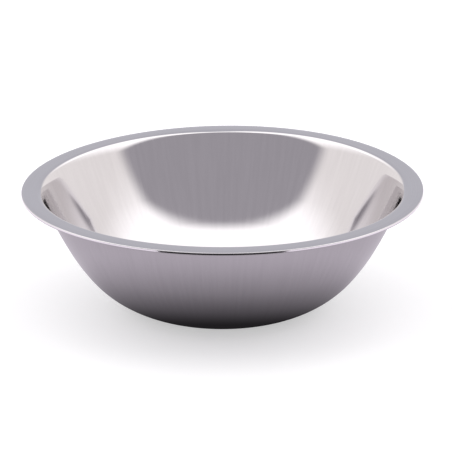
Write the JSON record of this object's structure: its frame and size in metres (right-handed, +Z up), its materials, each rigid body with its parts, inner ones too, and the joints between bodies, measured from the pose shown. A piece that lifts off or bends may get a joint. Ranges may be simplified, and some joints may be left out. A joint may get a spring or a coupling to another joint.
{
  "type": "mixing bowl",
  "caption": "Round mixing bowl drawn from steel sheet, with a flat base, a curved wall and a flat flange with a folded edge.",
  "frame": {"origin": "middle of the flat base, on the surface that the bowl stands on", "axes": "+Z up along the bowl's axis of revolution, from the base to the mouth; +X and +Y are any two level directions"},
  "size_m": [0.298, 0.298, 0.0905],
  "materials": {
    "steel": "polished stainless steel with faint draw marks running up the wall"
  },
  "bodies": {
    "root": {"bowl": "steel"}
  },
  "joints": []
}
